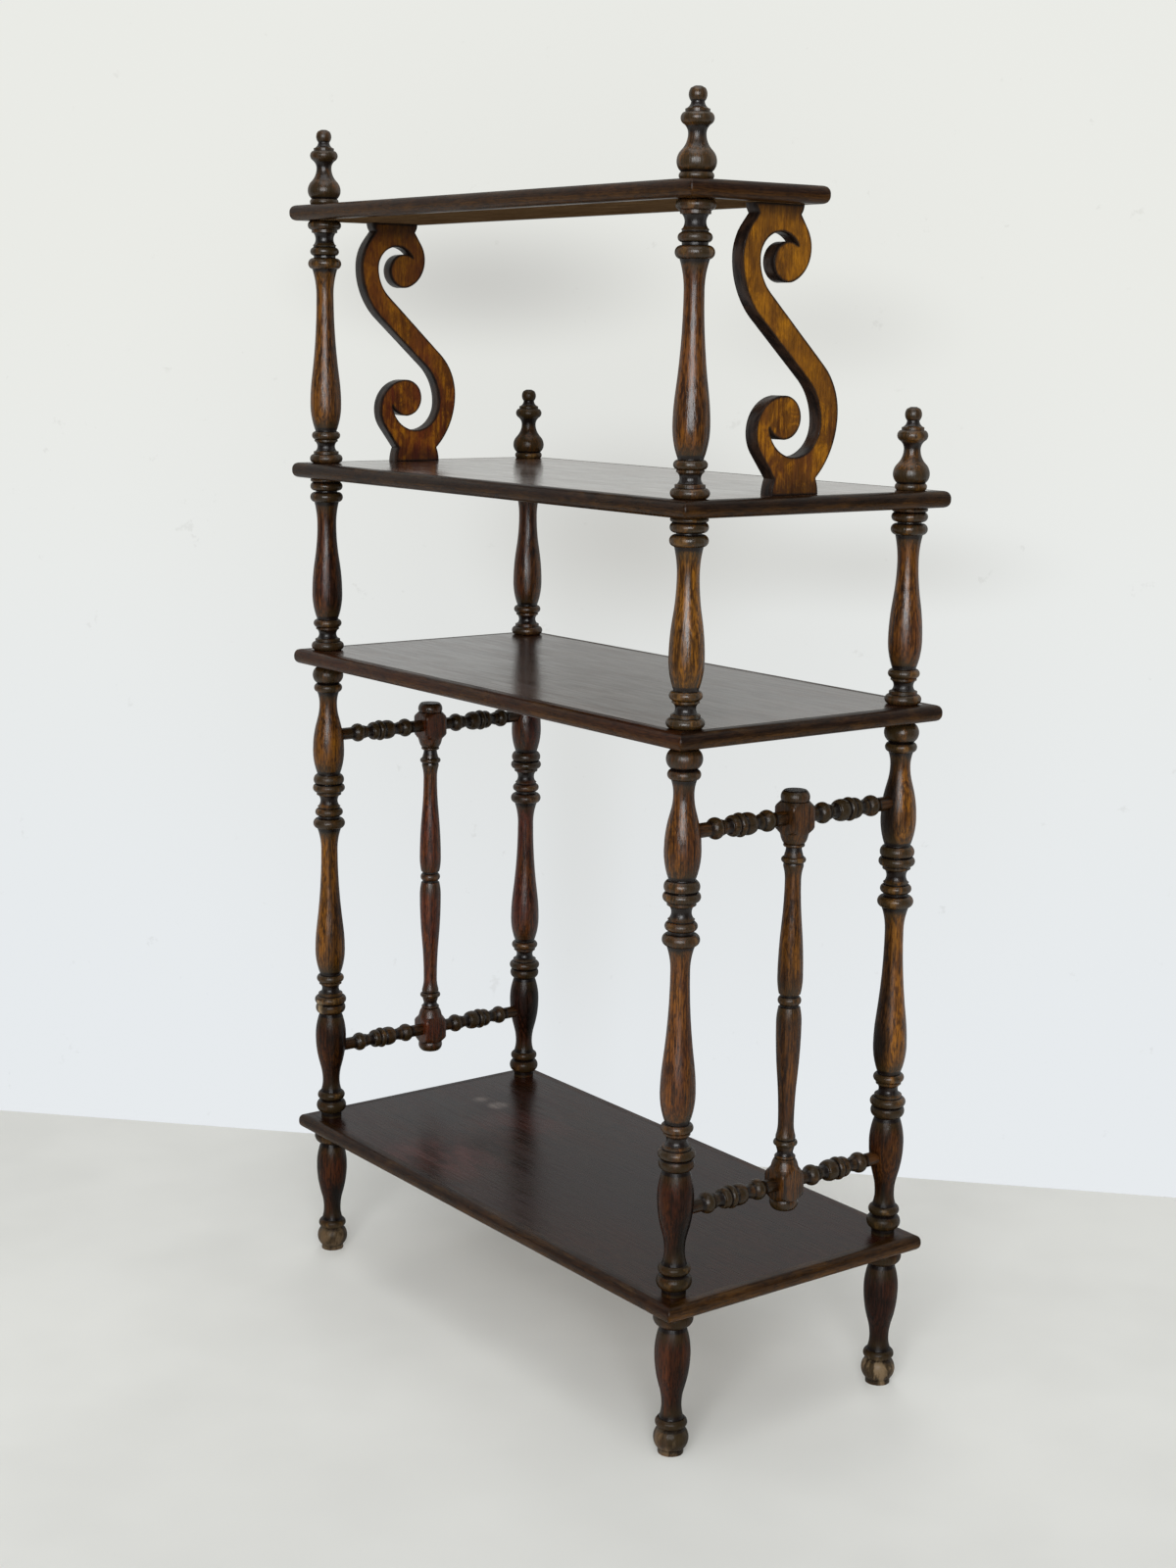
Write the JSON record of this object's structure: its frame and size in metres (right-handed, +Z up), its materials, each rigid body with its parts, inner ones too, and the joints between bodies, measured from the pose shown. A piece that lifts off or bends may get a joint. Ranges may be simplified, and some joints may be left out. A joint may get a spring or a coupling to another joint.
{
  "type": "etagere",
  "caption": "Turned-wood etagere with rounded-edge shelves on stacked baluster posts, a shallower top shelf on sawn S-scrolls, urn finials and spindle-and-stretcher ends.",
  "frame": {"origin": "on the floor, below the middle of the rectangle that the lower shelves cover", "axes": "+X along the shelves, to the right as seen from the front; +Y from the front to the rear, where the tall posts stand; +Z up"},
  "size_m": [0.681, 0.3244, 1.2479],
  "materials": {
    "turned_post": "dark red-brown stain under worn shellac, glossy",
    "spindle_work": "dark brown stain under worn shellac, glossy",
    "shelf_board": "near-black brown stain, glossy, scuffed",
    "shelf_edge": "dark brown stain, worn lighter along the nose",
    "scroll_board": "mottled amber-brown faces, near-black sawn edges",
    "dowel": "bare wood"
  },
  "bodies": {
    "root": {"bottom_shelf_panel": "shelf_board", "bottom_shelf_strip_front": "shelf_edge", "bottom_shelf_strip_left": "shelf_edge", "bottom_shelf_strip_rear": "shelf_edge", "bottom_shelf_strip_right": "shelf_edge", "finial_front_left": "turned_post", "finial_front_right": "turned_post", "finial_rear_left": "turned_post", "finial_rear_right": "turned_post", "foot_front_left": "turned_post", "foot_front_right": "turned_post", "foot_rear_left": "turned_post", "foot_rear_right": "turned_post", "lower_column_front_left": "turned_post", "lower_column_front_right": "turned_post", "lower_column_rear_left": "turned_post", "lower_column_rear_right": "turned_post", "middle_column_front_left": "turned_post", "middle_column_front_right": "turned_post", "middle_column_rear_left": "turned_post", "middle_column_rear_right": "turned_post", "scroll_dowels": "dowel", "scroll_left": "scroll_board", "scroll_right": "scroll_board", "second_shelf_panel": "shelf_board", "second_shelf_strip_front": "shelf_edge", "second_shelf_strip_left": "shelf_edge", "second_shelf_strip_rear": "shelf_edge", "second_shelf_strip_right": "shelf_edge", "side_spindle_left": "spindle_work", "side_spindle_right": "spindle_work", "stretcher_left_high_front": "spindle_work", "stretcher_left_high_rear": "spindle_work", "stretcher_left_low_front": "spindle_work", "stretcher_left_low_rear": "spindle_work", "stretcher_right_high_front": "spindle_work", "stretcher_right_high_rear": "spindle_work", "stretcher_right_low_front": "spindle_work", "stretcher_right_low_rear": "spindle_work", "third_shelf_panel": "shelf_board", "third_shelf_strip_front": "shelf_edge", "third_shelf_strip_left": "shelf_edge", "third_shelf_strip_rear": "shelf_edge", "third_shelf_strip_right": "shelf_edge", "top_shelf_panel": "shelf_board", "top_shelf_strip_front": "shelf_edge", "top_shelf_strip_left": "shelf_edge", "top_shelf_strip_rear": "shelf_edge", "top_shelf_strip_right": "shelf_edge", "upper_column_rear_left": "turned_post", "upper_column_rear_right": "turned_post"}
  },
  "joints": []
}
